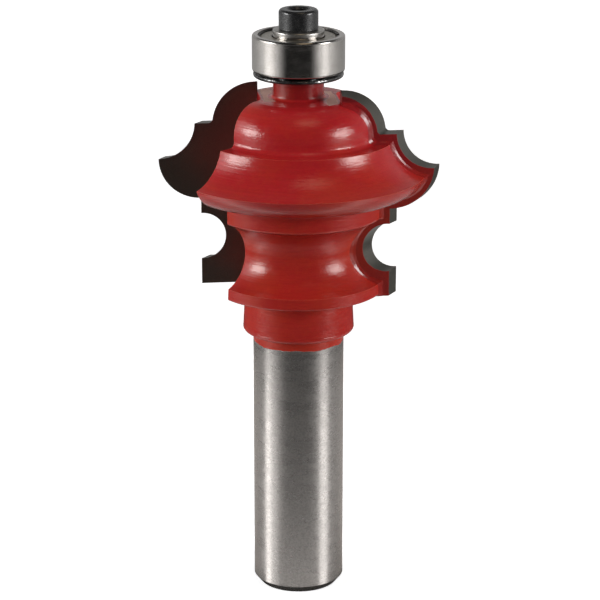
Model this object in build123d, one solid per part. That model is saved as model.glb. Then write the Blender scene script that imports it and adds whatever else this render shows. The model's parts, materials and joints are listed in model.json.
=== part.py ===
from build123d import *
import math
import os

os.makedirs("parts", exist_ok=True)

# ---------------------------------------------------------------- sizes
# Every length in millimetres.  +Z runs up the tool from the shank end face.
# shank and collar
shank_d = 12.7
shank_length = 37.95           # shank end face to the underside of the collar
shank_chamfer_h = 1.05
shank_chamfer_r = 0.85
collar_d = 15.5
collar_height = 6.15
collar_flare = 0.25            # the collar is this much smaller in radius at its top
collar_edge = 0.65             # soft lower edge of the collar

# guide bearing, 3/16 x 1/2 x 0.196 inch
bearing_bore = 4.7625
bearing_od = 12.7
bearing_height = 4.978
bearing_corner = 0.3
ball_d = 2.381
ball_count = 7
cage_wall = 0.68
cage_rim = 0.36
shield_seat = 0.62             # depth of the seat for shield and snap ring
shield_t = 0.2
snap_wire = 0.26
snap_ring_span = 352           # degrees of wire, the rest is the open gap

# cutting profile, from the bearing outwards and down
dome_radius = 5.7
step_fillet = 0.6
shelf_width = 2.40
cove_radius = 4.92
bead_radius = 5.7
upper_land = 2.2
flute_radius = 3.28
lower_land = 3.65

# carbide tips
tip_thickness = 2.0
hook_angle = 10.0
relief_angle = 16.5            # radial relief from the cutting face to the back
axial_relief_angle = 3.0       # relief of the edges that face up or down
braze_gap = 0.08
braze_bead = 0.42              # radius of the hollow fillet behind the tip

# steel body
standout_top = 1.45            # carbide stands this far proud of the steel, upper forms
standout_low = 1.7             # the same on the lower forms
flange_height = 1.65
core_x = 5.3                   # flat of the chip gullet, distance from the axis
gullet_angle = 40.0            # far wall of the gullet against the cutting face
gullet_wall_offset = 2.12
gullet_root_radius = 2.0
neck_d = 7.0
neck_height = 2.88
neck_fillet = 0.5

# top stack
shield_floor = 0.20
dust_cup_d = 12.40
dust_cup_h = 0.52
spacer_d = 7.0
spacer_t = 0.61
screw_washer_d = 7.06
screw_washer_t = 0.66

# socket head cap screw, M3
screw_d = 3.0
screw_head_d = 5.4
screw_head_h = 2.79
screw_length = 8.0
hex_across_flats = 2.5
hex_depth = 1.6

# clearances
fit_gap = 0.010                # sliding fit on the pilot
ball_gap = 0.010
shield_gap = 0.14
pocket_gap = 0.04
thread_gap = 0.03

# ---------------------------------------------------------------- derived
shank_r = shank_d / 2
collar_r = collar_d / 2
pilot_r = bearing_bore / 2 - fit_gap
z_collar = shank_length
z_flange = z_collar + collar_height
z_tip_low = z_flange - 0.2
z_flute_low = z_tip_low + lower_land
z_flute = z_flute_low + flute_radius
z_flute_top = z_flute + flute_radius
z_bead_low = z_flute_top + upper_land
z_bead = z_bead_low + bead_radius
z_shelf = z_bead + cove_radius
z_tip_top = z_shelf + dome_radius
dome_r0 = bearing_od / 2
dome_r1 = dome_r0 + dome_radius
shelf_r = dome_r1 + shelf_width
cutting_r = shelf_r + cove_radius
land_r = cutting_r - bead_radius
face_offset = cutting_r * math.sin(math.radians(hook_angle))
seat_offset = face_offset + tip_thickness + braze_gap
relief_inset = tip_thickness * math.tan(math.radians(relief_angle))
axial_inset = tip_thickness * math.tan(math.radians(axial_relief_angle))

body_dome_r = dome_radius - standout_top
z_dome_top = z_shelf + body_dome_r
z_neck_top = z_dome_top + neck_height
z_cup = z_neck_top
z_spacer = z_cup + shield_floor
z_bearing = z_spacer + spacer_t
z_bearing_top = z_bearing + bearing_height
z_washer_top = z_bearing_top + screw_washer_t
z_mid = z_bearing + bearing_height / 2
z_pilot_top = z_bearing_top - 0.35
pitch_r = (bearing_od + bearing_bore) / 4
race_r = ball_d * 0.52
seat_r = pitch_r + ball_d * 0.485
outer_land_r = pitch_r + ball_d * 0.35
inner_land_r = pitch_r - ball_d * 0.35


# ---------------------------------------------------------------- helpers
def at(r, z):
    """Point on the XZ half plane."""
    return Vector(r, 0, z)


def path(points):
    """Edges through points; a 4-tuple (rm, zm, r, z) is an arc by way of (rm, zm)."""
    edges, here = [], points[0]
    for step in points[1:]:
        if len(step) == 4:
            edges.append(ThreePointArc(at(*here), at(*step[:2]), at(*step[2:])))
            here = step[2:]
        else:
            edges.append(Line(at(*here), at(*step)))
            here = step
    return edges


def turned(points):
    """Solid of revolution about Z from a closed list of half-plane points."""
    return revolve(make_face(path(points + [points[0]])), Axis.Z, 360)


def on_arc(cr, cz, radius, degrees):
    a = math.radians(degrees)
    return (cr + radius * math.cos(a), cz + radius * math.sin(a))


def meet(c0, r0, c1, r1):
    """Lower right crossing of two circles in the half plane."""
    dx, dz = c1[0] - c0[0], c1[1] - c0[1]
    d = math.hypot(dx, dz)
    a = (d * d + r0 * r0 - r1 * r1) / (2 * d)
    h = math.sqrt(max(r0 * r0 - a * a, 0.0))
    base = (c0[0] + a * dx / d, c0[1] + a * dz / d)
    both = [(base[0] + s * h * dz / d, base[1] - s * h * dx / d) for s in (1, -1)]
    return max(both, key=lambda p: p[0])


def angle_of(c, p):
    return math.degrees(math.atan2(p[1] - c[1], p[0] - c[0]))


def at_flutes(solid):
    """The solid as made for the flute on the -X side, and turned half round."""
    return [solid, solid.rotate(Axis.Z, 180)]


# ---------------------------------------------------------------- profiles
def cutting_outline(relief, r_top):
    """Outer edge of a carbide tip in (radius, z), from this radius on the dome down.

    relief 0 is the cutting face and 1 the back face, whose edge is set in."""
    i, j = relief * relief_inset, relief * axial_inset
    dome, level = (dome_r0 - i, z_shelf - j), z_shelf - j
    top = (r_top, level + math.sqrt(dome_radius ** 2 - (r_top - dome[0]) ** 2))
    knee = (dome[0] + math.sqrt(dome_radius ** 2 - step_fillet ** 2), level + step_fillet)
    foot = (knee[0] + step_fillet, level)
    mid_knee = (knee[0] + step_fillet * 0.30, level + step_fillet * 0.28)
    shelf = (shelf_r - i, level)
    tip = (cutting_r - i, level - cove_radius)
    cove_mid = on_arc(cutting_r - i, level, cove_radius, -135)
    bead_mid = on_arc(land_r - i, z_bead, bead_radius, -45)
    bead_end = (land_r - i, z_bead_low + j)
    flute_top = (land_r - i, z_flute_top + j)
    flute_low = (land_r - i, z_flute_low - j)
    flute_mid = (land_r - flute_radius - i, z_flute)
    half = (angle_of(dome, top) + angle_of(dome, knee)) / 2
    return [top, (*on_arc(*dome, dome_radius, half), *knee), (*mid_knee, *foot),
            shelf, (*cove_mid, *tip), (*bead_mid, *bead_end), flute_top,
            (*flute_mid, *flute_low), (land_r - i, z_tip_low)]


def body_outline(grow, r_top):
    """Turned steel form in (radius, z), flange bottom up to this radius on the dome."""
    g = grow
    low_r = land_r - standout_low + g
    waist_r = land_r - flute_radius - standout_low - 0.04 + g
    bead, cove = (land_r, z_bead), (cutting_r, z_shelf)
    bead_r = bead_radius - standout_top - 0.1 + g
    cove_r = cove_radius + standout_top + 0.05 - g
    brim = meet(cove, cove_r, bead, bead_r)
    z_ledge = z_shelf - standout_top + g
    ledge_r = cutting_r - math.sqrt(cove_r ** 2 - (z_shelf - z_ledge) ** 2)
    dome_r = body_dome_r + g
    a_brim, a_ledge = angle_of(cove, brim) % 360, angle_of(cove, (ledge_r, z_ledge)) % 360
    base = 0.8
    z_round = z_bead - bead_r
    r_round = low_r + 0.9
    a_bead = angle_of(bead, brim)
    z_flange_top = z_flange + flange_height + g
    z_top = z_shelf + math.sqrt(dome_r ** 2 - (r_top - dome_r0) ** 2)
    half = angle_of((dome_r0, z_shelf), (r_top, z_top)) / 2
    return [
        (low_r - 0.3, z_flange - g), (low_r - 0.09, z_flange - g + 0.09, low_r, z_flange - g + 0.3),
        (low_r - 0.08, z_flange_top),
        (waist_r, z_flute - 0.1, low_r - 0.1, z_flute_top + 0.85),
        (low_r, z_flute_top + 1.05),
        (low_r, z_round - 0.9),
        (low_r + 0.26, z_round - 0.26, r_round, z_round),
        (land_r, z_round),
        (*on_arc(*bead, bead_r, (a_bead - 90) / 2), *brim),
        (*on_arc(*cove, cove_r, (a_brim + a_ledge) / 2), ledge_r, z_ledge),
        (dome_r0 + dome_r + base, z_ledge),
        (dome_r0 + dome_r + base * 0.29, z_ledge + base * 0.29, dome_r0 + dome_r, z_ledge + base),
        (dome_r0 + dome_r, z_shelf),
        (*on_arc(dome_r0, z_shelf, dome_r, half), r_top, z_top),
    ]


def in_plane(outline, size, offset):
    """An outline cut by a plane this far from the axis, as closed edges on the -X side."""
    points = outline(size, math.hypot(core_x, offset))

    def s(r):
        return -math.sqrt(max(r * r - offset * offset, 1e-6))

    def flat(p):
        return (s(p[0]), p[1]) if len(p) == 2 else (s(p[0]), p[1], s(p[2]), p[3])
    out = [flat(p) for p in points]
    out.append((-core_x, min(out[0][-1], out[-1][-1])))
    out.append(out[0])
    return [edge.moved(Location((0, offset, 0))) for edge in path(out)]


def plate(*sections):
    """Solid through outlines in parallel planes, ruled edge by edge between neighbours."""
    sides = [Face.make_surface_from_curves(a, b)
             for near, far in zip(sections, sections[1:]) for a, b in zip(near, far)]
    ends = [make_face(sections[0]), make_face(sections[-1])]
    return Solid(Shell(ends + sides)).fix()


# ---------------------------------------------------------------- steel body
def body_blank():
    """Shank, collar, form and pilot turned from one bar."""
    r_low, r_top = collar_r, collar_r - collar_flare
    lower = [
        (0, 0), (shank_r - shank_chamfer_r, 0), (shank_r, shank_chamfer_h),
        (shank_r, z_collar), (r_low - 0.5 * collar_edge, z_collar),
        (r_low - 0.11 * collar_edge, z_collar + 0.3 * collar_edge, r_low, z_collar + collar_edge),
        (r_top, z_flange - 0.4), (r_top + 0.117, z_flange - 0.117, r_top + 0.4, z_flange)]
    neck_r = neck_d / 2
    upper = [
        (neck_r + neck_fillet, z_dome_top),
        (neck_r + neck_fillet * 0.29, z_dome_top + neck_fillet * 0.29,
         neck_r, z_dome_top + neck_fillet),
        (neck_r, z_neck_top - 0.15), (neck_r - 0.15, z_neck_top), (pilot_r, z_neck_top),
        (pilot_r, z_pilot_top - 0.25), (pilot_r - 0.25, z_pilot_top), (0, z_pilot_top)]
    return turned(lower + body_outline(0, dome_r0) + upper)


def gullet():
    """Milled opening that takes the chips and the brazed tip, one flute."""
    a = math.radians(gullet_angle)
    far = cutting_r + 6

    def wall_y(x):
        return (gullet_wall_offset + x * math.sin(a)) / math.cos(a)
    corners = [(-core_x, seat_offset), (-far, seat_offset), (-far, wall_y(-far)),
               (-core_x, wall_y(-core_x))]
    plan = make_face(Polyline(*corners, close=True))
    root = plan.vertices().sort_by(Axis.X)[-2:].sort_by(Axis.Y)[0]
    plan = fillet(root, gullet_root_radius)
    return extrude(plan.moved(Location((0, 0, z_tip_low))), z_tip_top + 1 - z_tip_low,
                   dir=(0, 0, 1))


def cutter_body():
    solid = body_blank()
    for cut in at_flutes(gullet()):
        solid -= cut
    depth = screw_length + 0.6
    bore = Pos(0, 0, z_pilot_top - depth) * Cylinder(
        screw_d / 2, depth + 1, align=(Align.CENTER, Align.CENTER, Align.MIN))
    mouth = Pos(0, 0, z_pilot_top) * Cone(
        screw_d / 2 - 0.1, screw_d / 2 + 0.3, 0.4, align=(Align.CENTER, Align.CENTER, Align.MAX))
    return solid - bore - mouth


# ---------------------------------------------------------------- carbide tips
def carbide_tip():
    """Profiled plate: cutting face towards -Y, relieved all round to its back face."""
    front = in_plane(cutting_outline, 0, face_offset)
    back = in_plane(cutting_outline, 1, face_offset + tip_thickness)
    return plate(front, back)


def braze_joint(blank):
    """Filler between tip and seat, with the bead that runs along the back of the tip."""
    y0, y1 = face_offset + tip_thickness, seat_offset
    wide = 2 * cutting_r
    slab = Pos(-core_x - wide / 2, (y0 + y1) / 2, (z_tip_low + z_tip_top) / 2) * Box(
        wide, y1 - y0, z_tip_top - z_tip_low)
    layer = slab & blank
    hollow = [(1.0, 0.0), (0.52, 0.30), (0.20, 0.75), (-0.28, 1.5)]
    bead = plate(*[in_plane(body_outline, braze_bead * size, y0 + braze_bead * depth)
                   for size, depth in hollow])
    limit = Pos(-core_x - wide / 2, 0, (z_tip_low + z_tip_top) / 2) * Box(
        wide, 4 * wide, z_tip_top - z_tip_low)
    return (layer + (bead - blank)) & limit


# ---------------------------------------------------------------- bearing
def race_cut():
    """Ball groove shared by both rings."""
    return revolve(Pos(pitch_r, 0, z_mid) * (Rot(90, 0, 0) * Circle(race_r)), Axis.Z, 360)


def bearing_outer_ring():
    c = bearing_corner
    half = [
        (outer_land_r, z_bearing + shield_seat), (seat_r, z_bearing + shield_seat),
        (seat_r, z_bearing + 0.08), (seat_r + 0.08, z_bearing),
        (bearing_od / 2 - c, z_bearing),
        (bearing_od / 2 - c * 0.29, z_bearing + c * 0.29, bearing_od / 2, z_bearing + c),
        (bearing_od / 2, z_bearing_top - c),
        (bearing_od / 2 - c * 0.29, z_bearing_top - c * 0.29, bearing_od / 2 - c, z_bearing_top),
        (seat_r + 0.08, z_bearing_top), (seat_r, z_bearing_top - 0.08),
        (seat_r, z_bearing_top - shield_seat), (outer_land_r, z_bearing_top - shield_seat)]
    return turned(half) - race_cut()


def bearing_inner_ring():
    b, c = bearing_bore / 2, 0.2
    half = [
        (b + c, z_bearing), (inner_land_r - 0.12, z_bearing), (inner_land_r, z_bearing + 0.12),
        (inner_land_r, z_bearing_top - 0.12), (inner_land_r - 0.12, z_bearing_top),
        (b + c, z_bearing_top), (b, z_bearing_top - c), (b, z_bearing + c)]
    return turned(half) - race_cut()


def ball(k):
    a = 2 * math.pi * k / ball_count
    return Pos(pitch_r * math.cos(a), pitch_r * math.sin(a), z_mid) * Sphere(ball_d / 2 - ball_gap)


def bearing_cage():
    """Cage: one ring with a drilled pocket for each ball."""
    height = ball_d + 2 * cage_rim
    ring = Pos(0, 0, z_mid) * (Cylinder(pitch_r + cage_wall / 2, height)
                               - Cylinder(pitch_r - cage_wall / 2, height))
    drill = Pos(pitch_r, 0, z_mid) * Rot(0, 90, 0) * Cylinder(ball_d / 2 + pocket_gap, 3 * cage_wall)
    for k in range(ball_count):
        ring -= drill.rotate(Axis.Z, 360 * k / ball_count)
    return ring


def bearing_shield():
    """Upper shield: dished disc held in the seat of the outer ring."""
    z = z_bearing_top - shield_seat + 0.01
    r_in, r_out = inner_land_r + shield_gap, seat_r - 0.02
    step = r_out - 0.42
    return turned([
        (r_in, z + 0.12), (step - 0.15, z + 0.12), (step, z), (r_out, z), (r_out, z + shield_t),
        (step + 0.06, z + shield_t), (step - 0.09, z + shield_t + 0.12),
        (r_in, z + shield_t + 0.12)])


def snap_ring():
    """Round wire ring that keeps the upper shield in, with its open gap."""
    z = z_bearing_top - shield_seat + 0.01 + shield_t + snap_wire / 2 + 0.01
    r = seat_r - 0.02 - snap_wire / 2
    profile = Pos(r, 0, z) * (Rot(90, 0, 0) * Circle(snap_wire / 2))
    return revolve(profile, Axis.Z, snap_ring_span)


def mirrored(solid):
    """The same piece at the lower face of the bearing."""
    return solid.mirror(Plane.XY.offset(z_mid))


# ---------------------------------------------------------------- top stack
def dust_shield():
    """Dished washer with a rolled rim under the bearing."""
    r, t, h = dust_cup_d / 2, shield_floor, dust_cup_h
    z = z_cup
    bore = pilot_r + 0.03
    return turned([
        (bore, z), (r - 0.40, z), (r - 0.09, z + 0.08, r, z + 0.28), (r, z + h * 0.6),
        (r - 0.3 * t, z + 0.93 * h, r - 0.8 * t, z + h), (r - t, z + h - 0.06), (r - t, z + 0.38),
        (r - t - 0.08, z + t + 0.03, r - t - 0.3, z + t), (bore, z + t)])


def spacer_washer():
    bore, r, c = pilot_r + 0.02, spacer_d / 2, 0.1
    top = z_bearing
    return turned([
        (bore, z_spacer), (r - c, z_spacer), (r, z_spacer + c), (r, top - c), (r - c, top),
        (bore, top)])


def screw_washer():
    """Polished washer between the inner ring and the screw head, with a rounded rim."""
    bore, r, c = screw_d / 2 + 0.1, screw_washer_d / 2, 0.2
    low, top = z_bearing_top, z_washer_top
    return turned([
        (bore, low), (r - 0.08, low), (r, low + 0.08), (r, top - c),
        (r - c * 0.29, top - c * 0.29, r - c, top), (bore, top)])


def socket_screw():
    r, h, z = screw_head_d / 2, screw_head_h, z_washer_top
    core = screw_d / 2 - thread_gap
    e = 0.45
    end = z - screw_length
    solid = turned([
        (0, end), (core - 0.3, end), (core, end + 0.3), (core, z), (r - 0.15, z),
        (r, z + 0.15), (r, z + h - e), (r - e * 0.29, z + h - e * 0.29, r - e, z + h), (0, z + h)])
    flat = hex_across_flats / 2
    hexagon = RegularPolygon(flat, 6, major_radius=False)
    pocket = extrude(Pos(0, 0, z + h - hex_depth) * hexagon, hex_depth + 1)
    drill = Pos(0, 0, z + h - hex_depth) * Cone(0.02, flat, 0.35, align=(
        Align.CENTER, Align.CENTER, Align.MAX))
    mouth = Pos(0, 0, z + h) * Cone(flat + 0.02, flat + 0.37, 0.35, align=(
        Align.CENTER, Align.CENTER, Align.MAX))
    return solid - pocket - drill - mouth


# ---------------------------------------------------------------- files
def build_all():
    blank = body_blank()
    nodes = {"cutter_body": cutter_body()}
    for k, tip in enumerate(at_flutes(carbide_tip()), 1):
        nodes[f"carbide_tip_{k}"] = tip
    for k, joint in enumerate(at_flutes(braze_joint(blank)), 1):
        nodes[f"braze_joint_{k}"] = joint
    nodes["bearing_outer_ring"] = bearing_outer_ring()
    nodes["bearing_inner_ring"] = bearing_inner_ring()
    for k in range(ball_count):
        nodes[f"bearing_ball_{k + 1}"] = ball(k)
    nodes["bearing_cage"] = bearing_cage()
    nodes["bearing_shield_upper"] = bearing_shield()
    nodes["bearing_shield_lower"] = mirrored(bearing_shield())
    nodes["snap_ring_upper"] = snap_ring()
    nodes["snap_ring_lower"] = mirrored(snap_ring())
    nodes["dust_shield"] = dust_shield()
    nodes["spacer_washer"] = spacer_washer()
    nodes["screw_washer"] = screw_washer()
    nodes["socket_screw"] = socket_screw()
    return nodes


for name, solid in build_all().items():
    export_step(solid, f"parts/{name}.step")
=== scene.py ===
"""Looks of a profile router bit with a guide bearing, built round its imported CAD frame."""

from __future__ import annotations

import json
import logging
import math
from abc import ABC, abstractmethod
from dataclasses import dataclass
from enum import Enum

import bmesh
import bpy
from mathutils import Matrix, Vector

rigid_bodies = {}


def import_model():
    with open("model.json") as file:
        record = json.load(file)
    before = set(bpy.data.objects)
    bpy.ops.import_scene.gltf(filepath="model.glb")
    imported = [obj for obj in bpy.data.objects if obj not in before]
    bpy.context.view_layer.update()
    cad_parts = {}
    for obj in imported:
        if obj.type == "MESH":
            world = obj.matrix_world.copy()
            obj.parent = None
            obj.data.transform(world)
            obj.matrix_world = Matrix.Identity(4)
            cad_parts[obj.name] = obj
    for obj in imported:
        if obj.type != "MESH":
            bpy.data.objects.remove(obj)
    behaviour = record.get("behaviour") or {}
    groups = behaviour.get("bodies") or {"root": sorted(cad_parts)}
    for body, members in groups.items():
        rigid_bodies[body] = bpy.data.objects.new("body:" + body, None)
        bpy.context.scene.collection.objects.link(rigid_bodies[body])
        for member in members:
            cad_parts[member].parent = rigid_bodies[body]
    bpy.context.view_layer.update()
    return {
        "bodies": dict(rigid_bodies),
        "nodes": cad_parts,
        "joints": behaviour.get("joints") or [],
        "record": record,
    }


LOG = logging.getLogger("router_bit")
MM = 0.001

Colour = tuple[float, float, float]
Stretch = tuple[float, float, float]
Span = tuple[float, float]
Fade = tuple[Span, Span]  # two inputs, and the two results they give

WHITE: Colour = (1.0, 1.0, 1.0)
BLACK: Colour = (0.0, 0.0, 0.0)
EVEN: Stretch = (1.0, 1.0, 1.0)
UNIT: Span = (0.0, 1.0)

NOISE_SPREAD: Span = (0.3, 0.7)  # where most of a noise's values lie
NOISE_ROUGHNESS = 0.55
COARSE, FINE, FINEST = 2.0, 3.0, 4.0  # octaves of detail in a noise
BEVEL_SAMPLES = 4
EDGE_COSINE: Span = (1.0, 0.82)  # how well the bevelled normal agrees, on flats and on edges
OVAL_SHARE = math.pi / 4  # of the oblong that an oval fits in


class Flute(Enum):
    """The two flutes, by the side of the axis their tip stands on."""

    LEFT = 1
    RIGHT = 2

    @property
    def back_sign(self) -> float:
        """Direction along Y from the cutting face to the back of the tip."""
        return 1.0 if self is Flute.LEFT else -1.0


class MixKind(Enum):
    """What a mix node mixes: its data type, its two inputs and its output."""

    VALUE = ("FLOAT", 2, 3, 0)
    NORMAL = ("VECTOR", 4, 5, 1)
    COLOUR = ("RGBA", 6, 7, 2)


# ------------------------------------------------------------------ node graphs
@dataclass(frozen=True)
class Mottle:
    """Uneven patches: a noise mapped to two levels.

    Attributes:
        size: Size of the largest patches in metres.
        levels: The two levels.
        spread: Values of the noise that give them.
        detail: Octaves of finer detail.
        stretch: How many times longer the patches are along each axis.
    """

    size: float
    levels: Span = UNIT
    spread: Span = NOISE_SPREAD
    detail: float = FINE
    stretch: Stretch = EVEN


@dataclass(frozen=True)
class Relief:
    """Fine relief: a noise that stands up by a real depth.

    Attributes:
        size: Size of the largest features in metres.
        depth: Their height in metres.
        detail: Octaves of finer detail.
        stretch: How many times longer the features are along each axis.
    """

    size: float
    depth: float
    detail: float = COARSE
    stretch: Stretch = EVEN


class NodeTree:
    """Small builder for a shader node tree."""

    def __init__(self, tree: bpy.types.NodeTree, place: str) -> None:
        """Empty a tree and note where its points are.

        Args:
            tree: Node tree of a material or a world.
            place: Which texture coordinate gives the place of a point.
        """
        self.tree = tree
        self.tree.nodes.clear()
        self.place = self.add("ShaderNodeTexCoord").outputs[place]

    def add(self, kind: str, **settings: object) -> bpy.types.Node:
        """Add a node.

        Args:
            kind: Type of the node.
            settings: Properties of the node and their values.

        Returns:
            The new node.
        """
        node = self.tree.nodes.new(kind)
        for name, value in settings.items():
            setattr(node, name, value)
        return node

    def link(self, source: bpy.types.NodeSocket, target: bpy.types.NodeSocket) -> None:
        """Join an output to an input."""
        self.tree.links.new(source, target)

    def feed(self, value: object, target: bpy.types.NodeSocket) -> None:
        """Give an input a socket to follow or a plain value.

        Args:
            value: A node socket, a number, a vector or a colour.
            target: The input that takes it.
        """
        if isinstance(value, bpy.types.NodeSocket):
            self.link(value, target)
        elif isinstance(value, tuple) and target.type == "RGBA":
            target.default_value = (*value, 1.0)
        else:
            target.default_value = value

    def math(self, kind: str, first: object, second: object = 0.0, third: object = 0.0,
             clamp: bool = False) -> bpy.types.NodeSocket:
        """Add a math node.

        Args:
            kind: Operation of the math node.
            first: First operand.
            second: Second operand.
            third: Third operand.
            clamp: Whether the result is kept between 0 and 1.

        Returns:
            The result socket.
        """
        node = self.add("ShaderNodeMath", operation=kind, use_clamp=clamp)
        for socket, value in zip(node.inputs, (first, second, third)):
            self.feed(value, socket)
        return node.outputs[0]

    def times(self, first: object, second: object) -> bpy.types.NodeSocket:
        """Multiply two numbers."""
        return self.math("MULTIPLY", first, second)

    def dot(self, first: object, second: object) -> bpy.types.NodeSocket:
        """Multiply two vectors into one number.

        Args:
            first: First vector.
            second: Second vector.

        Returns:
            The number socket.
        """
        node = self.add("ShaderNodeVectorMath", operation="DOT_PRODUCT")
        self.feed(first, node.inputs[0])
        self.feed(second, node.inputs[1])
        return node.outputs["Value"]

    def ramp(self, value: object, source: Span, target: Span = UNIT,
             smooth: bool = True) -> bpy.types.NodeSocket:
        """Map a value from one range to another.

        Args:
            value: Value to map.
            source: Inputs that give the two results.
            target: The two results.
            smooth: Whether the change eases in and out.

        Returns:
            The mapped socket.
        """
        node = self.add("ShaderNodeMapRange",
                        interpolation_type="SMOOTHSTEP" if smooth else "LINEAR")
        for name, number in zip(("Value", "From Min", "From Max", "To Min", "To Max"),
                                (value, *source, *target)):
            self.feed(number, node.inputs[name])
        return node.outputs["Result"]

    def mix(self, kind: MixKind, share: object, first: object,
            second: object) -> bpy.types.NodeSocket:
        """Mix two values, normals or colours.

        Args:
            kind: What is mixed.
            share: Amount of the second.
            first: Result at 0.
            second: Result at 1.

        Returns:
            The mixed socket.
        """
        data_type, low, high, out = kind.value
        node = self.add("ShaderNodeMix", data_type=data_type)
        for socket, value in ((0, share), (low, first), (high, second)):
            self.feed(value, node.inputs[socket])
        return node.outputs[out]

    def scale(self, colour: bpy.types.NodeSocket, factor: object) -> bpy.types.NodeSocket:
        """Make a colour lighter or darker.

        Args:
            colour: Colour to change.
            factor: What its channels are multiplied by.

        Returns:
            The changed colour.
        """
        node = self.add("ShaderNodeVectorMath", operation="SCALE")
        self.link(colour, node.inputs[0])
        self.feed(factor, node.inputs["Scale"])
        return node.outputs[0]

    def axes(self) -> tuple[bpy.types.NodeSocket, ...]:
        """Split the place of the point.

        Returns:
            Its X, Y and Z sockets.
        """
        node = self.add("ShaderNodeSeparateXYZ")
        self.link(self.place, node.inputs[0])
        return tuple(node.outputs)

    def radius(self) -> bpy.types.NodeSocket:
        """Measure the point's distance from the tool axis.

        Returns:
            The distance socket.
        """
        x, y, _ = self.axes()
        return self.math("SQRT", self.math("ADD", self.times(x, x), self.times(y, y)))

    def noise(self, size: float, detail: float = FINE, stretch: Stretch = EVEN,
              place: bpy.types.NodeSocket | None = None) -> bpy.types.NodeSocket:
        """Add a noise whose features have a real size.

        Args:
            size: Size of the largest features in metres.
            detail: Octaves of finer detail.
            stretch: How many times longer the features are along each axis.
            place: Coordinates to use instead of the point's own place.

        Returns:
            The noise value socket.
        """
        mapping = self.add("ShaderNodeMapping")
        mapping.inputs["Scale"].default_value = [1.0 / s for s in stretch]
        self.link(place or self.place, mapping.inputs["Vector"])
        node = self.add("ShaderNodeTexNoise")
        for name, value in (("Scale", 1.0 / size), ("Detail", detail),
                            ("Roughness", NOISE_ROUGHNESS)):
            node.inputs[name].default_value = value
        self.link(mapping.outputs[0], node.inputs["Vector"])
        return node.outputs[0]

    def mottle(self, patches: Mottle) -> bpy.types.NodeSocket:
        """Add uneven patches.

        Args:
            patches: Their size and levels.

        Returns:
            The level socket.
        """
        noise = self.noise(patches.size, patches.detail, patches.stretch)
        return self.ramp(noise, patches.spread, patches.levels)

    def edge(self, radius: float) -> bpy.types.NodeSocket:
        """Find outer and inner edges.

        Args:
            radius: How far from the edge it reaches, in metres.

        Returns:
            A socket that rises from 0 on flats to 1 on edges.
        """
        bevel = self.add("ShaderNodeBevel", samples=BEVEL_SAMPLES)
        bevel.inputs["Radius"].default_value = radius
        flat = self.add("ShaderNodeNewGeometry").outputs["Normal"]
        return self.ramp(self.dot(bevel.outputs[0], flat), EDGE_COSINE)

    def bump(self, height: object, depth: float,
             after: bpy.types.NodeSocket | None = None) -> bpy.types.NodeSocket:
        """Add a bump.

        Args:
            height: Height socket, 0 to 1.
            depth: Height in metres that 1 stands for.
            after: Normal of an earlier bump to build on.

        Returns:
            The normal socket.
        """
        node = self.add("ShaderNodeBump")
        for name, value in (("Distance", depth), ("Strength", 1.0), ("Height", height)):
            self.feed(value, node.inputs[name])
        if after is not None:
            self.link(after, node.inputs["Normal"])
        return node.outputs[0]

    def relief(self, shape: Relief,
               after: bpy.types.NodeSocket | None = None) -> bpy.types.NodeSocket:
        """Add fine relief.

        Args:
            shape: Its size and depth.
            after: Normal of an earlier bump to build on.

        Returns:
            The normal socket.
        """
        return self.bump(self.noise(shape.size, shape.detail, shape.stretch), shape.depth, after)


class Graph(NodeTree):
    """Node tree of one material with one principled shader."""

    def __init__(self, name: str) -> None:
        """Start a material.

        Args:
            name: Name of the material.
        """
        self.material = bpy.data.materials.new(name)
        self.material.use_nodes = True
        super().__init__(self.material.node_tree, "Object")
        output = self.add("ShaderNodeOutputMaterial")
        self.shader = self.add("ShaderNodeBsdfPrincipled")
        self.link(self.shader.outputs["BSDF"], output.inputs["Surface"])

    def set(self, **sockets: object) -> None:
        """Feed the principled shader's inputs; underscores in a name stand for spaces."""
        for name, value in sockets.items():
            self.feed(value, self.shader.inputs[name.replace("_", " ")])


def dress(node: bpy.types.Object, material: bpy.types.Material) -> None:
    """Give every material slot of a piece one material.

    Args:
        node: The piece.
        material: What it is made of.
    """
    if not node.material_slots:
        node.data.materials.append(material)
    for slot in node.material_slots:
        slot.material = material


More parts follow.
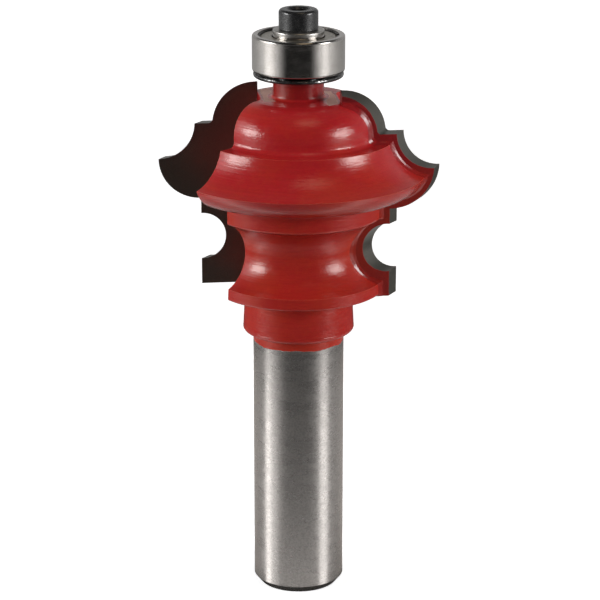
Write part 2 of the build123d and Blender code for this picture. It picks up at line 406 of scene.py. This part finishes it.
# ------------------------------------------------------------------ finishes
@dataclass(frozen=True)
class GroundSteel:
    """Bare steel with the fine lines that turning or grinding leaves round the axis."""

    name: str
    colour: Colour = (0.51, 0.485, 0.465)
    stain: Colour = (0.37, 0.35, 0.335)
    roughness: float = 0.28
    uneven: Span = (-0.04, 0.05)
    grain: float = 0.26 * MM
    grain_share: float = 1.4
    line_pitch: float = 0.17 * MM
    line_depth: float = 0.0012 * MM
    line_stretch: Stretch = (9.0, 9.0, 1.0)
    patch_pitches: float = 8.0
    patch_stretch: Stretch = (3.0, 3.0, 1.0)
    cloud: Mottle = Mottle(4 * MM, (0.0, 0.16), (0.35, 0.75), FINEST)
    speck_levels: Fade = ((0.35, 0.70), (0.0, 0.8))

    def tint(self, graph: Graph) -> bpy.types.NodeSocket:
        """Colour of the steel, faintly clouded and grained.

        Args:
            graph: Graph of the material.

        Returns:
            The colour socket.
        """
        speck = graph.ramp(graph.noise(self.grain), *self.speck_levels)
        share = graph.math("MAXIMUM", graph.mottle(self.cloud), speck)
        return graph.mix(MixKind.COLOUR, share, self.colour, self.stain)

    def gloss(self, graph: Graph) -> bpy.types.NodeSocket:
        """Roughness of the steel, a little uneven along the lines.

        Args:
            graph: Graph of the material.

        Returns:
            The roughness socket.
        """
        low, high = self.uneven
        return graph.mottle(Mottle(self.line_pitch * self.patch_pitches,
                                   (self.roughness + low, self.roughness + high),
                                   detail=FINEST, stretch=self.patch_stretch))

    def relief(self, graph: Graph) -> bpy.types.NodeSocket:
        """Normal with lines round the axis and a fine grain.

        Args:
            graph: Graph of the material.

        Returns:
            The normal socket.
        """
        lines = Relief(self.line_pitch, self.line_depth, stretch=self.line_stretch)
        grain = Relief(self.grain, self.line_depth * self.grain_share, FINE)
        return graph.relief(grain, graph.relief(lines))

    def material(self) -> bpy.types.Material:
        """Build the finished material.

        Returns:
            The material.
        """
        graph = Graph(self.name)
        graph.set(Base_Color=self.tint(graph), Metallic=1.0, Roughness=self.gloss(graph),
                  Normal=self.relief(graph))
        return graph.material


@dataclass(frozen=True)
class GroundTop:
    """Flat top of the dome, where the coating is ground away beside the neck; its colour holds
    painted light.
    """

    height: float = 71.18 * MM
    # painted light: the bare patches are drawn much lighter and warmer than the shank steel, for
    # the warm light they catch from above
    colour: Colour = (1.0, 0.64, 0.55)
    rougher: float = 0.22
    above: Span = (60 * MM, 61 * MM)
    flat: Span = (0.05 * MM, 0.02 * MM)
    neck: Span = (4.15 * MM, 4.30 * MM)
    inner: Span = (3.3 * MM, 3.6 * MM)
    outer: Span = (5.05 * MM, 4.85 * MM)
    ahead: Span = (2.9 * MM, 2.6 * MM)
    behind: Span = (-1.0 * MM * MM, -3.0 * MM * MM)

    def mask(self, graph: Graph, wander: bpy.types.NodeSocket) -> bpy.types.NodeSocket:
        """Mask of the ground patches.

        Args:
            graph: Graph of the material.
            wander: How far the patches' outline strays, in metres.

        Returns:
            The mask socket, 1 where the steel is bare.
        """
        x, y, z = graph.axes()
        ring = graph.ramp(graph.radius(), self.neck)
        flat = graph.ramp(graph.math("ABSOLUTE", graph.math("SUBTRACT", z, self.height)),
                          self.flat)
        outward = graph.math("ADD", graph.math("ABSOLUTE", x), wander)
        ahead = graph.ramp(graph.math("ADD", graph.math("ABSOLUTE", y), wander), self.ahead)
        reach = graph.math("MAXIMUM", ahead, graph.ramp(graph.times(x, y), self.behind))
        strip = graph.times(graph.ramp(outward, self.inner), graph.ramp(outward, self.outer))
        return graph.times(graph.times(flat, ring), graph.times(strip, reach))


@dataclass(frozen=True)
class RedCoating:
    """Non-stick red coating sprayed over the turned body, with a bare ground shank."""

    name: str = "red_coated_steel"
    deep: Colour = (0.420, 0.0135, 0.0185)
    warm: Colour = (0.475, 0.034, 0.014)
    edge: Colour = (0.560, 0.062, 0.026)
    # painted shade: a factor on the whole coat colour; 0.62 on the tips' coated backs, 0.66 on
    # the braze fillets
    shade: float = 1.0
    ior: float = 1.50
    sheen: Colour = (1.0, 0.95, 0.91)
    gloss: Mottle = Mottle(1.2 * MM, (0.15, 0.25))
    # where it ends on the shank
    coat_end: float = 36.45 * MM
    coat_step: float = 0.03 * MM
    end_fade: Span = (0.02 * MM, -0.03 * MM)
    ragged: float = 0.42 * MM
    ragged_size: float = 2.6 * MM
    # where it is thin and warm, and where painted shade darkens it
    cloud: Mottle = Mottle(9 * MM, spread=(0.42, 0.72))
    cloud_share: float = 0.4
    fleck: Mottle = Mottle(0.5 * MM, (0.0, 0.25), (0.35, 0.80))
    # from 64 mm down to 56 mm the coat turns warmer, and painted shade draws it up to 7% darker
    low: Fade = ((64 * MM, 56 * MM), (0.0, 0.35))
    painted_low_shade: Fade = ((56 * MM, 64 * MM), (0.93, 1.0))
    rim_above: Span = (1.7 * MM, 1.4 * MM)
    rim_share: float = 0.8
    # painted shadow: from 0.1 to 0.4 mm above the dome top the coat darkens to 0.60, on the neck
    # under the bearing
    neck_shadow_above: Span = (0.1 * MM, 0.4 * MM)
    painted_neck_shadow: float = 0.60
    edge_reach: float = 0.18 * MM
    edge_share: float = 0.75
    worn_reach: float = 0.16 * MM
    worn_rougher: float = 0.3
    # what shows through it
    ring_size: float = 0.26 * MM
    ring_slant: float = 0.10
    ring_depth: float = 0.030 * MM
    ring_tones: Fade = ((0.25, 0.75), (0.94, 1.05))
    peel: Relief = Relief(1.1 * MM, 0.004 * MM)
    grit: Relief = Relief(0.22 * MM, 0.024 * MM)
    top: GroundTop = GroundTop()
    steel: GroundSteel = GroundSteel("shank_steel")

    def bare(self, graph: Graph) -> bpy.types.NodeSocket:
        """Mask of the bare steel: the shank, its ragged coat edge and the ground dome top.

        Args:
            graph: Graph of the material.

        Returns:
            The mask socket, 1 where the steel is bare.
        """
        _, _, z = graph.axes()
        wander = graph.math("MULTIPLY_ADD", graph.noise(self.ragged_size, FINEST),
                            self.ragged * 2, -self.ragged)
        high, low = self.end_fade
        shank = graph.ramp(graph.math("ADD", z, wander),
                           (self.coat_end + high, self.coat_end + low))
        return graph.math("MAXIMUM", shank, self.top.mask(graph, wander), clamp=True)

    def tint(self, graph: Graph, edges: bool = True) -> bpy.types.NodeSocket:
        """Colour of the coating: deep red, warmer where it is thin and on edges; painted shade
        darkens it towards the bottom, on the neck and by a set factor.

        Args:
            graph: Graph of the material.
            edges: Whether the coating thins on sharp edges.

        Returns:
            The colour socket.
        """
        thin = graph.math("MULTIPLY_ADD", graph.mottle(self.cloud), self.cloud_share,
                          graph.mottle(self.fleck), clamp=True)
        _, _, z = graph.axes()
        rim = graph.ramp(z, tuple(self.coat_end + above for above in self.rim_above),
                         (0.0, self.rim_share))
        thin = graph.math("ADD", thin, graph.ramp(z, *self.low), clamp=True)
        thin = graph.math("MAXIMUM", thin, rim)
        # turning-mark tones, times the painted shade towards the bottom
        rings = graph.times(graph.ramp(self.turning(graph), *self.ring_tones),
                            graph.ramp(z, *self.painted_low_shade))
        # painted shadow on the neck, times the painted shade factor
        neck = graph.ramp(z, tuple(self.top.height + above for above in self.neck_shadow_above),
                          (self.shade, self.shade * self.painted_neck_shadow))
        colour = graph.scale(graph.mix(MixKind.COLOUR, thin, self.deep, self.warm),
                             graph.times(rings, neck))
        if not edges:
            return colour
        share = graph.times(graph.edge(self.edge_reach), self.edge_share)
        return graph.mix(MixKind.COLOUR, share, colour, self.edge)

    def turning(self, graph: Graph) -> bpy.types.NodeSocket:
        """Height of the rings that the lathe left round the axis.

        Args:
            graph: Graph of the material.

        Returns:
            The height socket, 0 to 1.
        """
        x, y, z = graph.axes()
        slant = graph.math("MULTIPLY_ADD", x, self.ring_slant, graph.times(y, self.ring_slant))
        coil = graph.add("ShaderNodeCombineXYZ")
        for socket, value in zip(coil.inputs, (graph.radius(), slant, z)):
            graph.link(value, socket)
        return graph.noise(self.ring_size, COARSE, place=coil.outputs[0])

    def skin(self, graph: Graph) -> bpy.types.NodeSocket:
        """Normal of the sprayed skin: turning marks under orange peel and fine grit.

        Args:
            graph: Graph of the material.

        Returns:
            The normal socket.
        """
        marks = graph.bump(self.turning(graph), self.ring_depth)
        return graph.relief(self.grit, graph.relief(self.peel, marks))

    def material(self) -> bpy.types.Material:
        """Build the finished material.

        Returns:
            The material.
        """
        graph = Graph(self.name)
        bare = self.bare(graph)
        _, _, z = graph.axes()
        top = graph.ramp(z, self.top.above)
        metal = graph.mix(MixKind.COLOUR, top, self.steel.tint(graph), self.top.colour)
        metal_gloss = graph.math("MULTIPLY_ADD", top, self.top.rougher, self.steel.gloss(graph))
        coat_gloss = graph.math("MULTIPLY_ADD", graph.edge(self.worn_reach), self.worn_rougher,
                                graph.mottle(self.gloss))
        normal = graph.mix(MixKind.NORMAL, bare, self.skin(graph), self.steel.relief(graph))
        graph.set(Base_Color=graph.mix(MixKind.COLOUR, bare, self.tint(graph), metal),
                  Metallic=bare, IOR=self.ior, Specular_Tint=self.sheen,
                  Roughness=graph.mix(MixKind.VALUE, bare, coat_gloss, metal_gloss),
                  Normal=graph.bump(graph.math("SUBTRACT", 1.0, bare), self.coat_step, normal))
        return graph.material


@dataclass(frozen=True)
class GroundCarbide:
    """Tungsten carbide: lapped cutting face, ground relief land, coated back face."""

    flute: Flute
    face_offset: float
    thickness: float
    core: float = 5.3 * MM
    # painted reflection: the cutting face is drawn darker and browner than the land, for the
    # dark front and red body that it mirrors
    face: Colour = (0.138, 0.116, 0.096)
    land: Colour = (0.165, 0.158, 0.138)
    metallic: float = 0.85
    bare_roughness: float = 0.36
    coat_roughness: float = 0.30
    face_fade: Span = (0.02 * MM, 0.004 * MM)
    back_fade: Span = (-0.03 * MM, -0.005 * MM)
    core_fade: Span = (0.03 * MM, 0.01 * MM)
    creep: Mottle = Mottle(0.7 * MM, (0.0, 0.09 * MM))
    grit: Mottle = Mottle(0.05 * MM, (0.72, 1.12), detail=COARSE)
    lap: Relief = Relief(0.05 * MM, 0.0008 * MM, FINE, (1.0, 1.0, 18.0))
    scratch: Relief = Relief(0.05 * MM, 0.0012 * MM, FINE, (14.0, 14.0, 1.0))
    # painted shade: the coated back and inner edge are drawn at 0.62 of the coat's colour
    coat: RedCoating = RedCoating(shade=0.62)

    def depth(self, graph: Graph) -> bpy.types.NodeSocket:
        """Depth of a point towards the back of the tip, counted from the tool's axis."""
        return graph.times(graph.axes()[1], self.flute.back_sign)

    def back(self, graph: Graph) -> bpy.types.NodeSocket:
        """Mask of the coated back and inner edge, with a little coating over their edges.

        Args:
            graph: Graph of the material.

        Returns:
            The mask socket, 1 where the tip is coated.
        """
        creep = graph.mottle(self.creep)
        limit = self.face_offset + self.thickness
        across = graph.math("SUBTRACT", graph.math("ABSOLUTE", graph.axes()[0]), creep)
        inner = graph.ramp(across, tuple(self.core + fade for fade in self.core_fade))
        behind = graph.ramp(graph.math("ADD", self.depth(graph), creep),
                            tuple(limit + fade for fade in self.back_fade))
        return graph.math("MAXIMUM", inner, behind)

    def front(self, graph: Graph) -> bpy.types.NodeSocket:
        """Mask of the lapped cutting face."""
        return graph.ramp(self.depth(graph),
                          tuple(self.face_offset + fade for fade in self.face_fade))

    def material(self) -> bpy.types.Material:
        """Build the finished material.

        Returns:
            The material.
        """
        graph = Graph(f"carbide_{self.flute.name.lower()}")
        back = self.back(graph)
        metal = graph.scale(graph.mix(MixKind.COLOUR, self.front(graph), self.land, self.face),
                            graph.mottle(self.grit))
        bare = graph.relief(self.scratch, graph.relief(self.lap))
        coated = self.coat.tint(graph, edges=False)
        graph.set(Base_Color=graph.mix(MixKind.COLOUR, back, metal, coated),
                  Metallic=graph.ramp(back, UNIT, (self.metallic, 0.0)),
                  Roughness=graph.ramp(back, UNIT, (self.bare_roughness, self.coat_roughness)),
                  Normal=graph.mix(MixKind.NORMAL, back, bare, self.coat.skin(graph)))
        return graph.material


@dataclass(frozen=True)
class CoatedBraze:
    """Braze fillet under the red coating: rounder, glossier, slightly lumpy and darkened with
    painted shade.
    """

    lumps: Relief = Relief(1.1 * MM, 0.05 * MM, FINE)
    skin: Relief = Relief(0.16 * MM, 0.0015 * MM)
    gloss: Mottle = Mottle(0.8 * MM, (0.13, 0.22))
    # painted shade: the fillet's coat is drawn at 0.66 of the coat's colour
    coat: RedCoating = RedCoating(shade=0.66)

    def material(self) -> bpy.types.Material:
        """Build the finished material.

        Returns:
            The material.
        """
        graph = Graph("coated_braze")
        graph.set(Base_Color=self.coat.tint(graph, edges=False), Metallic=0.0,
                  Roughness=graph.mottle(self.gloss),
                  Normal=graph.relief(self.skin, graph.relief(self.lumps)))
        return graph.material


@dataclass(frozen=True)
class BlackOxide:
    """Black oxide over steel with a lighter colour on edges: dull grey edge wear when that
    colour is dark, a painted glint when it is near white.
    """

    name: str
    colour: Colour = (0.020, 0.020, 0.021)
    # edge colour: dull grey wear on the screw, near white on the dust shield and spacer, where
    # it is a painted glint
    rubbed_edge_and_glint: Colour = (0.085, 0.083, 0.080)
    roughness: float = 0.25
    uneven: Span = (-0.06, 0.08)
    uneven_size: float = 0.3 * MM
    metallic: float = 0.3
    ior: float = 1.75
    edge_width: float = 0.12 * MM
    wear: Mottle = Mottle(0.4 * MM, spread=(0.2, 0.6))
    cloud: Mottle = Mottle(0.8 * MM, (0.0, 0.3), (0.4, 0.8), FINEST)
    grit: Relief = Relief(0.10 * MM, 0.0007 * MM)
    lines: Relief = Relief(0.10 * MM, 0.0015 * MM, stretch=(18.0, 18.0, 1.0))

    def material(self) -> bpy.types.Material:
        """Build the finished material.

        Returns:
            The material.
        """
        graph = Graph(self.name)
        # edge colour share: real edge wear on the screw, a painted glint on the dust shield and
        # spacer
        edge_wear_and_glint = graph.times(graph.edge(self.edge_width), graph.mottle(self.wear))
        rub_and_glint = graph.math("ADD", edge_wear_and_glint, graph.mottle(self.cloud), clamp=True)
        low, high = self.uneven
        gloss = Mottle(self.uneven_size, (self.roughness + low, self.roughness + high))
        graph.set(Base_Color=graph.mix(MixKind.COLOUR, rub_and_glint, self.colour, self.rubbed_edge_and_glint),
                  Metallic=self.metallic, Roughness=graph.mottle(gloss), IOR=self.ior,
                  Normal=graph.relief(self.lines, graph.relief(self.grit)))
        return graph.material


# ------------------------------------------------------------------ sub-assemblies
@dataclass
class Assembly(ABC):
    """Pieces of the frame that are dressed together."""

    frame: dict

    @abstractmethod
    def finishes(self) -> dict[str, bpy.types.Material]:
        """Name the pieces and what each is made of."""

    def build(self) -> list[str]:
        """Dress the pieces.

        Returns:
            Names of the dressed nodes.
        """
        finishes = self.finishes()
        for name, material in finishes.items():
            dress(self.frame["nodes"][name], material)
        return list(finishes)


@dataclass
class Cutter(Assembly):
    """Turned and coated body with its two brazed tips."""

    face_offset: float = 3.3636 * MM
    tip_thickness: float = 2.0 * MM

    def finishes(self) -> dict[str, bpy.types.Material]:
        """Finish the body, tips and braze joints.

        Returns:
            Material of each node.
        """
        made = {"cutter_body": RedCoating().material()}
        braze = CoatedBraze().material()
        for flute in Flute:
            carbide = GroundCarbide(flute, self.face_offset, self.tip_thickness)
            made[f"carbide_tip_{flute.value}"] = carbide.material()
            made[f"braze_joint_{flute.value}"] = braze
        return made


@dataclass
class GuideBearing(Assembly):
    """Shielded ball bearing that guides the cut."""

    ball_count: int = 7
    ring: GroundSteel = GroundSteel(
        "bearing_ring_steel", (0.54, 0.515, 0.49), (0.44, 0.415, 0.39), roughness=0.16,
        grain=0.22 * MM, line_pitch=0.16 * MM, line_depth=0.0006 * MM)
    shield: GroundSteel = GroundSteel(
        "shield_steel", (0.62, 0.585, 0.53), (0.34, 0.32, 0.28), roughness=0.42,
        grain=0.24 * MM, line_pitch=0.20 * MM, line_depth=0.005 * MM)
    # painted shade: the snap rings are drawn near-black for the shade in the recess between the
    # outer ring and the shields
    shaded_wire: GroundSteel = GroundSteel(
        "snap_wire_painted_shade", (0.09, 0.085, 0.08), (0.05, 0.05, 0.05), roughness=0.3)
    ball: GroundSteel = GroundSteel(
        "ball_steel", (0.66, 0.66, 0.66), (0.60, 0.60, 0.60), roughness=0.08,
        grain=0.2 * MM, line_pitch=0.2 * MM, line_depth=0.0001 * MM)

    def finishes(self) -> dict[str, bpy.types.Material]:
        """Finish the rings, shields, snap rings, cage and balls.

        Returns:
            Material of each node.
        """
        pieces = {
            self.ring: ["bearing_outer_ring", "bearing_inner_ring"],
            self.shield: ["bearing_cage", "bearing_shield_upper", "bearing_shield_lower"],
            self.shaded_wire: ["snap_ring_upper", "snap_ring_lower"],
            self.ball: [f"bearing_ball_{k}" for k in range(1, self.ball_count + 1)],
        }
        made = {}
        for steel, names in pieces.items():
            made |= dict.fromkeys(names, steel.material())
        return made


@dataclass
class TopStack(Assembly):
    """Dust shield, washers and cap screw that hold the bearing."""

    black: BlackOxide = BlackOxide("black_oxide_screw")
    # painted highlight: the near-white edge colour over 0.3 mm draws a glint round the rims of
    # the dust shield and spacer
    blued_with_glint: BlackOxide = BlackOxide(
        "blued_washer_with_glint", (0.045, 0.047, 0.048), (0.72, 0.71, 0.70), roughness=0.18,
        metallic=0.95, edge_width=0.30 * MM)
    bright: GroundSteel = GroundSteel(
        "washer_steel", (0.55, 0.53, 0.50), (0.40, 0.38, 0.355), roughness=0.33,
        grain=0.20 * MM, line_pitch=0.14 * MM, line_depth=0.0012 * MM)

    def finishes(self) -> dict[str, bpy.types.Material]:
        """Finish the stack.

        Returns:
            Material of each node.
        """
        black, blued_with_glint = self.black.material(), self.blued_with_glint.material()
        return {"socket_screw": black, "spacer_washer": blued_with_glint, "dust_shield": blued_with_glint,
                "screw_washer": self.bright.material()}


# ------------------------------------------------------------------ studio
@dataclass(frozen=True)
class Viewpoint:
    """The camera. All the studio's directions are counted from it."""

    target_height: float = 42 * MM
    distance: float = 351.2 * MM
    elevation: float = 17.63
    azimuth: float = -6.32
    lens: float = 150.5
    sensor: float = 36.0
    shift: float = 0.0025
    clip: Span = (0.01, 20.0)

    def along(self, azimuth: float, elevation: float = 0.0) -> Vector:
        """Direction from the tool to a place in the studio.

        Args:
            azimuth: Degrees to the camera's right of the line to the camera.
            elevation: Degrees above the floor.

        Returns:
            Unit vector in the row frame.
        """
        a, e = math.radians(azimuth + self.azimuth), math.radians(elevation)
        return Vector((math.sin(a) * math.cos(e), -math.cos(a) * math.cos(e), math.sin(e)))

    def build(self) -> None:
        """Place the camera."""
        data = bpy.data.cameras.new("camera")
        data.lens, data.sensor_width, data.shift_x = self.lens, self.sensor, self.shift
        data.clip_start, data.clip_end = self.clip
        camera = bpy.data.objects.new("camera", data)
        bpy.context.collection.objects.link(camera)
        back = self.along(0.0, self.elevation)
        camera.location = Vector((0, 0, self.target_height)) + back * self.distance
        camera.rotation_euler = (-back).to_track_quat("-Z", "Y").to_euler()
        bpy.context.scene.camera = camera


@dataclass(frozen=True)
class Softbox:
    """Oval soft light that faces the tool.

    Attributes:
        name: Name of the light.
        azimuth: Degrees to the camera's right.
        elevation: Degrees above the floor.
        size: Width and height in metres.
        level: Radiance of its face, where 1 is white.
        away: Distance in metres.
        colour: Light colour.
        aim_height: Height of the place that it faces.
    """

    name: str
    azimuth: float
    elevation: float
    size: Span
    level: float
    away: float = 0.6
    colour: Colour = WHITE
    aim_height: float = 55 * MM

    def build(self, view: Viewpoint) -> None:
        """Hang the light.

        Args:
            view: The camera that directions are counted from.
        """
        width, height = self.size
        data = bpy.data.lights.new(self.name, "AREA")
        data.shape, data.size, data.size_y = "ELLIPSE", width, height
        data.energy = self.level * math.pi * width * height * OVAL_SHARE
        data.color = self.colour
        lamp = bpy.data.objects.new(self.name, data)
        bpy.context.collection.objects.link(lamp)
        out = view.along(self.azimuth, self.elevation)
        lamp.location = Vector((0, 0, self.aim_height)) + out * self.away
        lamp.rotation_euler = out.to_track_quat("Z", "Y").to_euler()


@dataclass(frozen=True)
class Surroundings:
    """Pale room that shiny surfaces see darker in front of the tool and overhead.

    Attributes:
        dull: Light on dull surfaces, from the front of the room to its back.
        shiny: What shiny surfaces see, from the front to the back.
        overhead: How much of that is left, from the horizon up.
        seen: What the camera sees.
    """

    dull: Fade = ((-0.8, 0.8), (0.18, 0.62))
    shiny: Fade = ((-0.6, 1.0), (0.02, 0.55))
    overhead: Fade = ((0.35, 0.70), (1.0, 0.25))
    seen: float = 1.0

    def build(self, view: Viewpoint) -> None:
        """Set the world.

        Args:
            view: The camera that directions are counted from.
        """
        world = bpy.data.worlds.new("studio")
        bpy.context.scene.world = world
        world.use_nodes = True
        graph = NodeTree(world.node_tree, "Generated")
        rays = graph.add("ShaderNodeLightPath").outputs
        behind = graph.dot(graph.place, view.along(180.0))
        mirrored = graph.times(graph.ramp(behind, *self.shiny),
                               graph.ramp(graph.axes()[2], *self.overhead))
        shiny = graph.math("MAXIMUM", rays["Is Glossy Ray"], rays["Is Transmission Ray"])
        dull = graph.ramp(behind, *self.dull, smooth=False)
        bounce = graph.mix(MixKind.VALUE, shiny, dull, mirrored)
        ground = graph.add("ShaderNodeBackground")
        graph.link(graph.mix(MixKind.VALUE, rays["Is Camera Ray"], bounce, self.seen),
                   ground.inputs["Strength"])
        output = graph.add("ShaderNodeOutputWorld")
        graph.link(ground.outputs[0], output.inputs["Surface"])


def lay_sheet(name: str, corners: list[Vector], height: float,
              material: bpy.types.Material) -> bpy.types.Object:
    """Lay one flat sheet on the studio floor.

    Args:
        name: Name of the object.
        corners: Its corners, anticlockwise from above.
        height: Height of the sheet above the tool's foot.
        material: Its material.

    Returns:
        The new object.
    """
    mesh = bpy.data.meshes.new(name)
    build = bmesh.new()
    build.faces.new([build.verts.new(corner) for corner in corners])
    build.to_mesh(mesh)
    build.free()
    mesh.materials.append(material)
    sheet = bpy.data.objects.new(name, mesh)
    sheet.location = Vector((0, 0, height))
    bpy.context.collection.objects.link(sheet)
    return sheet


def hide_from_view(sheet: bpy.types.Object, lights_up: bool) -> None:
    """Hide a studio sheet from the camera, so that it only shows in shiny surfaces.

    Args:
        sheet: The sheet.
        lights_up: Whether dull surfaces still get light from it.
    """
    sheet.visible_camera = False
    sheet.visible_diffuse = lights_up
    sheet.visible_shadow = False


def oblong(left: float, right: float, near: float, far: float) -> list[Vector]:
    """List the corners of a rectangle, in metres."""
    return [Vector((x, y, 0.0)) for x, y in
            ((left, near), (right, near), (right, far), (left, far))]


@dataclass(frozen=True)
class Floor:
    """Pale floor that keeps the tool's shadow."""

    grey: Colour = (0.86, 0.86, 0.86)
    roughness: float = 0.9
    glow: float = 0.80
    half_width: float = 2.0
    height: float = -0.02 * MM

    def build(self) -> None:
        """Lay the floor."""
        graph = Graph("floor")
        rays = graph.add("ShaderNodeLightPath").outputs
        graph.set(Base_Color=self.grey, Roughness=self.roughness, Specular_IOR_Level=0.0,
                  Emission_Color=WHITE,
                  Emission_Strength=graph.times(rays["Is Camera Ray"], self.glow))
        half = self.half_width
        lay_sheet("floor", oblong(-half, half, -half, half), self.height, graph.material)


@dataclass(frozen=True)
class DarkCard:
    """Card before the tool that the camera doesn't see, painted with the light and shade that
    shiny surfaces reflect. Distances are from the axis.

    Attributes:
        front: Brightness straight before the tool, some way out.
        front_foot: What is added to it at the tool's foot.
        front_half: Distance over which that halves.
        front_far: How it fades further out.
        side_turn: Angles off the front between which it turns into its side.
        side_near: Brightness of its side, near the tool.
        side_far: The same, far out. The brighter of the two counts.
        painted_contact_shade: How it darkens close to the shank.
        roughness: Its roughness.
        half_width: Half its width.
        reach: Where it starts and ends along the line from the camera.
        height: Height above the tool's foot.
    """

    front: float = 0.10
    front_foot: float = 0.78
    front_half: float = 25 * MM
    front_far: Fade = ((0.12, 0.22), (1.0, 0.25))
    side_turn: Span = (math.radians(27.0), math.radians(57.0))
    side_near: Fade = ((0.098, 0.118), (0.64, 0.10))
    side_far: Fade = ((0.24, 0.30), (0.10, 0.66))
    painted_contact_shade: Fade = ((7.2 * MM, 8.6 * MM), (0.15, 1.0))
    roughness: float = 0.8
    half_width: float = 0.5
    reach: Span = (-0.7, 0.5)
    height: float = -0.01 * MM

    def build(self, view: Viewpoint) -> None:
        """Lay the card.

        Args:
            view: The camera that directions are counted from.
        """
        graph = Graph("dark_card")
        x, y, _ = graph.axes()
        away = graph.radius()
        turn = graph.math("ABSOLUTE", graph.math("ARCTAN2", x, graph.times(y, -1.0)))
        halving = graph.math("POWER", 0.5, graph.math("DIVIDE", away, self.front_half))
        front = graph.times(graph.math("MULTIPLY_ADD", halving, self.front_foot, self.front),
                            graph.ramp(away, *self.front_far))
        side = graph.math("MAXIMUM", graph.ramp(away, *self.side_near),
                          graph.ramp(away, *self.side_far))
        grey = graph.math("MULTIPLY_ADD", graph.ramp(turn, self.side_turn),
                          graph.math("SUBTRACT", side, front), front)
        # painted shade: the card is drawn darker close to the shank
        grey = graph.times(grey, graph.ramp(away, *self.painted_contact_shade))
        graph.set(Base_Color=graph.mix(MixKind.COLOUR, grey, BLACK, WHITE),
                  Roughness=self.roughness, Specular_IOR_Level=0.0)
        card = lay_sheet("dark_card", oblong(-self.half_width, self.half_width, *self.reach),
                         self.height, graph.material)
        card.rotation_euler[2] = math.radians(view.azimuth)
        hide_from_view(card, lights_up=True)


@dataclass(frozen=True)
class Wedge:
    """Bright wedge of floor from the shank outwards that only shiny surfaces see.

    Attributes:
        name: Name of the wedge.
        azimuth: Degrees to the camera's right of its middle.
        spread: Degrees from its middle to its sides.
        level: Radiance of the wedge, where 1 is white.
        near: Where it starts, in metres from the shank.
        far: Where it ends.
        shank_radius: Radius of the circle that its sides start from.
        fade: Shares of far between which it fades out.
        colour: Colour of its light.
        height: Height above the tool's foot.
    """

    name: str
    azimuth: float
    spread: float
    level: float
    near: float = 0.001
    far: float = 0.12
    shank_radius: float = 6.5 * MM
    fade: Span = (0.62, 1.04)
    colour: Colour = (1.0, 0.985, 0.97)
    height: float = 0.02 * MM

    def build(self, view: Viewpoint) -> None:
        """Lay the wedge.

        Args:
            view: The camera that directions are counted from.
        """
        graph = Graph(self.name)
        fade = graph.ramp(graph.radius(), tuple(self.far * share for share in self.fade),
                          (self.level, 0.0))
        graph.set(Base_Color=BLACK, Emission_Color=self.colour, Emission_Strength=fade)
        corners = []
        for reach, side in ((self.near, -1), (self.far, -1), (self.far, 1), (self.near, 1)):
            way = self.azimuth + side * self.spread
            corners.append(view.along(way / 2) * self.shank_radius + view.along(way) * reach)
        hide_from_view(lay_sheet(self.name, corners, self.height, graph.material),
                       lights_up=False)


@dataclass
class Studio:
    """Camera, surroundings, floor and lights."""

    view: Viewpoint = Viewpoint()
    # each light's azimuth, elevation, size and level
    softboxes: tuple[Softbox, ...] = (
        Softbox("left_core", -76.0, 13.0, (0.31, 0.24), 11.592),
        Softbox("left_halo", -76.0, 11.0, (0.44, 0.42), 0.35, away=0.64),
        Softbox("right_core", 69.0, 13.0, (0.31, 0.24), 12.6),
        Softbox("right_halo", 69.0, 11.0, (0.44, 0.42), 0.35, away=0.64),
        Softbox("left_wash", -92.0, 18.0, (0.44, 0.42), 1.7, away=0.66),
    )
    # each wedge's azimuth, spread and level
    wedges: tuple[Wedge, ...] = (
        Wedge("left_strip", -86.0, 8.0, 2.15),
        Wedge("left_reflector", -66.0, 12.0, 0.75),
        Wedge("right_reflector", 69.0, 12.0, 1.42),
        Wedge("left_far_reflector", -76.0, 18.0, 1.2, near=0.24, far=0.50),
        Wedge("right_far_reflector", 69.0, 13.0, 0.9, near=0.24, far=0.50),
    )
    top_light: Softbox = Softbox("top_light", 25.0, 66.0, (0.25, 0.25), 1.4,
                                 colour=(1.0, 0.80, 0.55))

    def build(self) -> None:
        """Set up the whole studio."""
        self.view.build()
        Surroundings().build(self.view)
        Floor().build()
        DarkCard().build(self.view)
        for light in (*self.softboxes, *self.wedges, self.top_light):
            light.build(self.view)
        bpy.context.scene.view_settings.view_transform = "Standard"


def main() -> None:
    """Build every sub-assembly in order and report it."""
    logging.basicConfig(level=logging.INFO, format="%(name)s: %(message)s")
    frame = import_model()
    for assembly in (Cutter(frame), GuideBearing(frame), TopStack(frame)):
        names = assembly.build()
        LOG.info("%s: %s", type(assembly).__name__, ", ".join(names))
    Studio().build()


if __name__ == "__main__":
    main()
